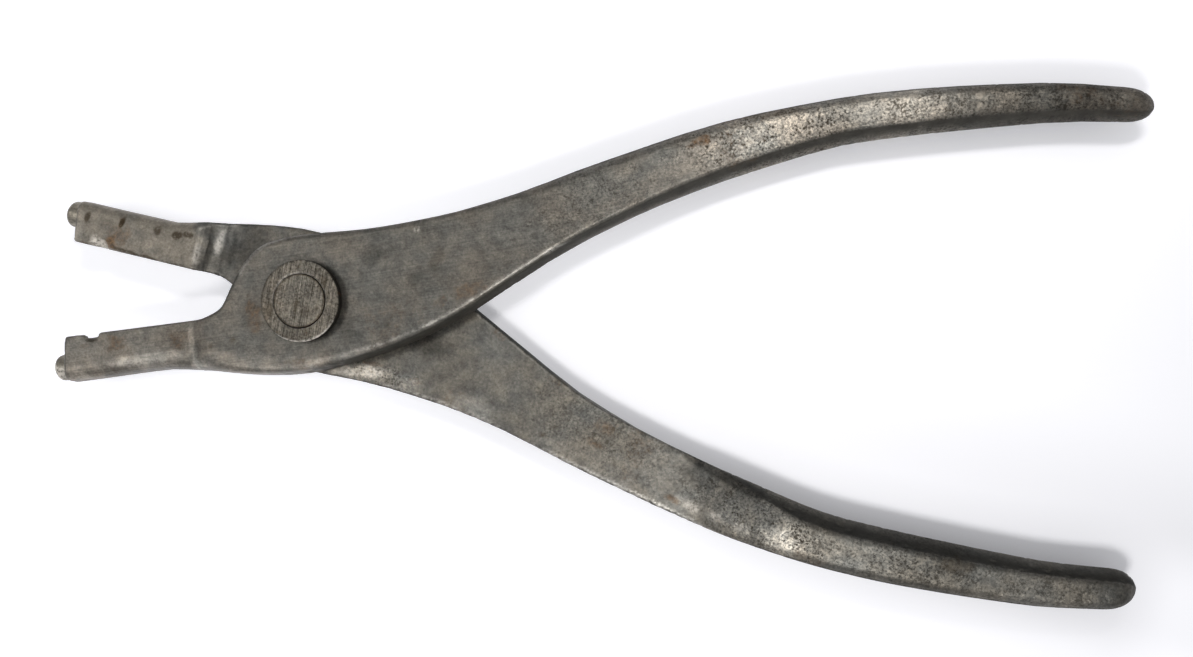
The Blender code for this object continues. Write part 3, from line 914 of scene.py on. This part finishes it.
def snapToCuts(mesh, node):
    # the sawn edges at the jaw's end draw the nearest vertices onto them
    bm = bmesh.new()
    bm.from_mesh(nodes[node].data)
    bmesh.ops.remove_doubles(bm, verts=bm.verts, dist=1e-6)
    limit = math.radians(leverMesh["crispAngle"])
    sharp = [e for e in bm.edges if e.is_manifold and e.calc_face_angle() > limit]
    cuts = [[v.co.copy() for v in e.verts] for e in sharp]
    cuts = [cut for cut in cuts if max(p.x for p in cut) < leverMesh["crispFrom"]]
    bm.free()
    points = readVertices(mesh)
    best = np.full(len(points), np.inf)
    nearest = points.copy()
    for start, end in np.array(cuts):
        run = end - start
        share = np.clip((points - start) @ run / (run @ run), 0, 1)
        foot = start + share[:, None] * run
        away = np.linalg.norm(points - foot, axis=1)
        closer = away < best
        best[closer] = away[closer]
        nearest[closer] = foot[closer]
    pull = 1 - smoothStep(best, 0.5 * leverMesh["crispReach"], leverMesh["crispReach"])
    writeVertices(mesh, points + leverMesh["crispPull"] * pull[:, None] * (nearest - points))


def meltSteps(mesh, look):
    # the steps between jaw and lap face are forged soft: their profile along the lever is blurred
    points, normals = readVertices(mesh), readVertices(mesh, "normal")
    turn = math.radians(look["stepTurn"])
    along = points[:, 0] * math.cos(turn) + points[:, 1] * math.sin(turn)
    across = points[:, 1] * math.cos(turn) - points[:, 0] * math.sin(turn)
    facing = look["lapSide"] * normals[:, 2]
    places = np.arange(leverMesh["stepFrom"], leverMesh["stepTo"], leverMesh["stepGrid"])
    offMiddle = np.abs(across - look["stepMiddle"] * mm)
    middle = (facing > 0.1) & (offMiddle < leverMesh["stepHalfWidth"])
    bins = np.digitize(along[middle], places)
    heights = np.array([points[middle][bins == k, 2].mean() for k in range(1, len(places))])
    taps = leverMesh["stepTaps"]
    span = np.arange(-taps, taps + 1) * leverMesh["stepGrid"] / leverMesh["stepBlur"]
    weights = np.exp(-0.5 * span**2)
    padded = np.pad(heights, taps, mode="edge")
    soft = np.convolve(padded, weights / weights.sum(), mode="valid")
    shift = np.interp(along, places[:-1] + 0.5 * leverMesh["stepGrid"], soft - heights, left=0, right=0)
    points[:, 2] += shift * smoothStep(facing, 0.0, 0.25)
    writeVertices(mesh, points)


def wearLever(mesh, look):
    # every mark goes inwards, so the lap faces keep clear of each other
    points, normals, ends = readVertices(mesh), readVertices(mesh, "normal"), readEdges(mesh)
    bend = surfaceBend(points, normals, ends)
    edge = smoothStep(bend, *leverMesh["nickBend"])
    handle = smoothStep(points[:, 0], *leverMesh["pitsFrom"])
    depth = leverMesh["waveDepth"] * (0.5 + 0.5 * noiseValues(points, leverMesh["waveSize"]))
    pits = smoothStep(noiseValues(points, leverMesh["pitSize"], 3.0), 0.25, 0.6)
    depth += leverMesh["pitDepth"] * pits * (0.3 + 0.7 * handle)
    nicks = smoothStep(noiseValues(points, leverMesh["nickSize"], 7.0), 0.1, 0.6)
    depth += leverMesh["nickDepth"] * nicks * edge
    crumbs = smoothStep(noiseValues(points, leverMesh["chipSize"], 21.0), -0.05, 0.35)
    chips = spotMask(points, crumbs, look["chips"]) * crumbs
    depth += mm * chips * smoothStep(bend, *leverMesh["chipBend"])
    writeVertices(mesh, points - depth[:, None] * normals)


def leverMasks(mesh, look):
    points, normals, ends = readVertices(mesh), readVertices(mesh, "normal"), readEdges(mesh)
    x, z = points[:, 0], points[:, 2]
    wander = noiseValues(points, leverMarks["wander"], 11.0)
    cloud = noiseValues(points, leverMarks["cloud"], 5.0)
    upward = smoothStep(normals[:, 2], -0.2, 0.2)
    jawFade = leverMarks["jawFade"]
    jaw = 1 - smoothStep(x / mm, look["jawEnds"] - jawFade, look["jawEnds"] + jawFade)
    riser = smoothStep(normals[:, 0], 0.2, 0.5) * (1 - smoothStep(x / mm, *leverMarks["riserEnds"]))
    upright = 1 - smoothStep(np.abs(normals[:, 2]), *leverMarks["wallTurn"])
    wall = (1 - np.maximum(riser, jaw)) * upright
    handle = smoothStep(x / mm, *leverMarks["handleFrom"])
    # painted bounce light: the handle's walls turn paler towards the floor
    wall *= 1 - look["wallPaintedBounce"] * handle * (1 - smoothStep(z / mm, *leverMarks["wallPaintedBounceHeights"]))
    # painted light: listed patches of wall take the face colour
    wall *= 1 - spotMask(points, wander, look["wallsPaintedLit"])
    bend = surfaceBend(points, normals, ends)
    edge = leverMarks["edgeWear"] * smoothStep(bend, *leverMarks["edgeBend"])
    for line, strength, width in look["edgeLines"]:
        worn = strength * upward * lineMask(points, line, width)
        edge = np.maximum(edge, worn * smoothStep(bend, *leverMarks["lineBend"]))
    # tone: the jaw's lighter finish and random tone, with painted highlights, lit faces and painted
    # shadows from the look's lists
    tone = (1 + (look["jawTone"] - 1) * jaw) * (1 + upward * spotMask(points, 0.5 * wander, look["tone"]))
    for line, change, width in look["toneAndPaintedLightLines"]:
        tone *= 1 + change * upward * lineMask(points, line, width)
    # painted light along the handles
    tone *= np.interp(x / mm + 2.0 * wander, *zip(*look["handleToneAndPaintedLight"]))
    grain = spotMask(points, wander, look["grain"])
    least = leverMarks["leastSpeckle"]
    rust = upward * spotMask(points, wander, look["rust"])
    thinRust = leverMarks["thinRust"] * smoothStep(cloud, 0.2, 0.6)
    return {
        "Tone": tone,
        "Tan": look["jawTan"] * jaw,
        "Speckle": least + (1 - least) * grain,
        "Wall": wall,
        "Edge": edge,
        # painted highlights and bright worn patches, from the look's bright lists
        "Bright": upward * spotMask(points, wander, look["bright"]),
        "Dark": upward * spotMask(points, wander, look["dark"], leverMarks["darkCore"]),
        "Rust": np.maximum(rust, thinRust),
    }


def agedLever(name, node, look):
    mesh = softenedLever(node)
    snapToCuts(mesh, node)
    meltSteps(mesh, look)
    wearLever(mesh, look)
    writeMasks(mesh, leverMasks(mesh, look))
    print(name, len(mesh.vertices), "vertices")
    return placePiece(name, mesh, node, steelMaterial(name + "Steel", look))


agedLever("frontLever", "front_lever", frontLook)
agedLever("backLever", "back_lever", backLook)
print("levers made")


# Rivet, washer and jaw pins, turned round their axes

turnedLook = {
    "cool": (0.125, 0.118, 0.102),
    "warm": (0.155, 0.136, 0.110),
    # dark sides: oxide, and painted shade on the washer's visible wall
    "side": (0.016, 0.014, 0.011),
    "lining": 5.0,
    "lineAngle": 84.0,
    "bump": 0.6,
    "specular": 0.12,
    "tone": 1.16,
    "speckle": 0.55,
    "wall": 1.0,
    "worn": 0.3,
    "rust": 0.3,
    "dark": [
        (-0.5, -0.9, 0.7, 2.0, -6, 0.6),
        (1.4, -1.9, 1.5, 1.4, -6, 0.35),
        (3.4, -1.3, 0.5, 0.7, -6, 0.5),
    ],
    "rim": (4.45, 4.70, 0.8),  # from one radius to another the face darkens by this share
    "paintedHighlightSide": (0.20, -0.88, 0.42),  # faces turned this way get a painted highlight
    "paintedHighlight": 0.0,
}
washerLook = dict(
    turnedLook,
    tone=1.02,
    worn=0.7,
    dark=[(-5.6, -2.2, 0.9, 1.8, -6, 0.6), (4.4, 3.6, 0.7, 1.6, -6, 0.5)],
    rim=(5.10, 4.85, 0.5),
    paintedHighlight=1.4,
)
pinLook = dict(
    turnedLook,
    cool=(0.250, 0.238, 0.200),
    warm=(0.275, 0.248, 0.204),
    lining=0.3,
    bump=0.35,
    speckle=0.25,
    tone=0.92,
    wall=0.0,
    worn=0.5,
    rust=0.35,
    dark=[],
    rim=(100, 101, 0.0),
    paintedHighlightSide=(-0.55, -0.45, 0.70),
    paintedHighlight=2.6,
)
backPinLook = dict(pinLook, tone=1.0, paintedHighlight=0.15)
turning = {
    "steps": 112,
    "ring": 0.35 * mm,  # spacing of the rings across a flat face
    "waveSize": 2.6 * mm,
    "waveDepth": 0.05 * mm,
    "headCorner": 0.4 * mm,
    "headSeat": 0.4 * mm,  # the rivet's head goes this far up into its seat
    "endDrop": 0.10 * mm,  # the peened end's rim below its face
    "endFlare": 0.08 * mm,
    "dimple": (-0.5 * mm, -0.4 * mm, 0.9 * mm, 0.14 * mm),  # x, y, radius and depth in the rivet's face
    "washerCorner": 0.45 * mm,
    "washerNip": 0.10 * mm,
    "pinCorner": 0.95 * mm,
    "pinNip": 0.2 * mm,
}
turnedMarks = {
    "wander": 1.1 * mm,
    "edgeBend": (0.5, 1.6),
    "wallTurn": (0.2, 0.6),
    "paintedHighlightFrom": (0.60, 0.95),
    "paintedHighlightTurn": (0.05, 0.3),
    "darkTurn": (0.3, 0.7),
    "darkCore": 0.4,
    "rustFrom": (0.1, 0.6),
}


def arc(centre, radius, start, end, count=5):
    turns = np.radians(np.linspace(start, end, count))
    return [(centre[0] + radius * math.cos(t), centre[1] + radius * math.sin(t)) for t in turns]


def filled(profile, spacing):
    # the profile with points added along its long runs
    points = [profile[0]]
    for start, end in zip(np.array(profile[:-1]), np.array(profile[1:])):
        count = max(1, round(np.linalg.norm(end - start) / spacing))
        points += [tuple(start + (end - start) * k / count) for k in range(1, count + 1)]
    return points


def turnedMesh(name, profile, closed):
    bm = bmesh.new()
    ring = [bm.verts.new((radius, 0, height)) for radius, height in filled(profile, turning["ring"])]
    pairs = list(zip(ring, ring[1:])) + ([(ring[-1], ring[0])] if closed else [])
    edges = [bm.edges.new(pair) for pair in pairs]
    bmesh.ops.spin(
        bm, geom=ring + edges, cent=(0, 0, 0), axis=(0, 0, 1), angle=2 * math.pi,
        steps=turning["steps"], use_merge=True,
    )
    bmesh.ops.remove_doubles(bm, verts=bm.verts, dist=1e-6)
    bmesh.ops.recalc_face_normals(bm, faces=bm.faces)
    mesh = bpy.data.meshes.new(name)
    bm.to_mesh(mesh)
    bm.free()
    return mesh


def wearTurned(mesh, seed):
    points, normals = readVertices(mesh), readVertices(mesh, "normal")
    depth = turning["waveDepth"] * (0.5 + 0.5 * noiseValues(points, turning["waveSize"], seed))
    writeVertices(mesh, points - depth[:, None] * normals)


def turnedMasks(mesh, look):
    points, normals, ends = readVertices(mesh), readVertices(mesh, "normal"), readEdges(mesh)
    edge = smoothStep(surfaceBend(points, normals, ends), *turnedMarks["edgeBend"])
    level = np.zeros(len(points))
    wall = 1 - smoothStep(np.abs(normals[:, 2]), *turnedMarks["wallTurn"])
    wander = noiseValues(points, turnedMarks["wander"], 4.0)
    # painted highlight on faces turned towards one side
    paintedHighlight = smoothStep(normals @ np.array(look["paintedHighlightSide"]), *turnedMarks["paintedHighlightFrom"])
    rimFrom, rimTo, rimDark = look["rim"]
    rim = rimDark * smoothStep(np.hypot(points[:, 0], points[:, 1]) / mm, rimFrom, rimTo)
    dark = np.maximum(spotMask(points, wander, look["dark"], turnedMarks["darkCore"]), rim)
    return {
        "Tone": level + look["tone"],
        "Tan": level,
        "Speckle": level + look["speckle"],
        "Wall": wall * look["wall"],
        "Edge": edge * look["worn"],
        "Bright": look["paintedHighlight"] * paintedHighlight * smoothStep(normals[:, 2], *turnedMarks["paintedHighlightTurn"]),
        "Dark": dark * smoothStep(normals[:, 2], *turnedMarks["darkTurn"]),
        "Rust": look["rust"] * smoothStep(wander, *turnedMarks["rustFrom"]),
    }


def agedRivet():
    low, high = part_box("pivot_rivet")
    bottom, top = low[2], high[2]
    cad = readVertices(nodes["pivot_rivet"].data)
    radii = np.hypot(cad[:, 0], cad[:, 1])
    shank = radii[cad[:, 2] > 0.5 * top].max()
    head = radii.max()
    headTop = cad[radii > 0.5 * (head + shank), 2].max() + turning["headSeat"]
    corner = turning["headCorner"]
    profile = [(0, bottom)] + arc((head - corner, bottom + corner), corner, -90, 0)
    profile += arc((head - corner, headTop - corner), corner, 0, 90)
    profile += [(shank, headTop)]
    profile += arc((shank, top - turning["endDrop"]), turning["endFlare"], 0, 90)
    profile += [(0, top)]
    mesh = turnedMesh("pivotRivet", profile, False)
    wearTurned(mesh, 2.0)
    points = readVertices(mesh)
    x, y, radius, depth = turning["dimple"]
    face = points[:, 2] > top - 0.3 * mm
    away = np.hypot(points[:, 0] - x, 0.6 * (points[:, 1] - y)) / radius
    away += 0.3 * noiseValues(points, 0.8 * mm)
    points[:, 2] -= face * depth * (1 - smoothStep(away, 0.2, 1.0))
    writeVertices(mesh, points)
    writeMasks(mesh, turnedMasks(mesh, turnedLook))
    return placePiece("pivotRivet", mesh, "pivot_rivet", steelMaterial("rivetSteel", turnedLook))


def agedWasher():
    low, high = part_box("pivot_washer")
    cad = readVertices(nodes["pivot_washer"].data)
    radii = np.hypot(cad[:, 0], cad[:, 1])
    inner, outer = radii.min(), radii.max()
    bottom, top = low[2], high[2]
    corner, nip = turning["washerCorner"], turning["washerNip"]
    profile = [(inner, bottom), (outer - nip, bottom), (outer, bottom + nip)]
    profile += arc((outer - corner, top - corner), corner, 0, 90)
    profile += [(inner + nip, top), (inner, top - nip)]
    mesh = turnedMesh("pivotWasher", profile, True)
    wearTurned(mesh, 6.0)
    writeMasks(mesh, turnedMasks(mesh, washerLook))
    return placePiece("pivotWasher", mesh, "pivot_washer", steelMaterial("washerSteel", washerLook))


def agedPin(name, node, seed, look):
    cad = readVertices(nodes[node].data)
    centre = cad.mean(axis=0)
    along = np.linalg.svd(cad - centre, full_matrices=False)[2][0]
    along *= -np.sign(along[0])
    reach = (cad - centre) @ along
    radius = np.linalg.norm(cad - centre - reach[:, None] * along, axis=1).max()
    back, front = reach.min(), reach.max()
    corner, nip = turning["pinCorner"], turning["pinNip"]
    profile = [(0, back), (radius - nip, back), (radius, back + nip)]
    profile += arc((radius - corner, front - corner), corner, 0, 78)
    profile += [(0, front)]
    mesh = turnedMesh(name, profile, False)
    wearTurned(mesh, seed)
    turn = Vector((0, 0, 1)).rotation_difference(Vector(along)).to_matrix().to_4x4()
    mesh.transform(Matrix.Translation(centre) @ turn)
    writeMasks(mesh, turnedMasks(mesh, look))
    return placePiece(name, mesh, node, steelMaterial(name + "Steel", look))


agedRivet()
agedWasher()
agedPin("frontJawPin", "front_jaw_pin", 9.0, pinLook)
agedPin("backJawPin", "back_jaw_pin", 13.0, backPinLook)
print("rivet, washer and pins made")
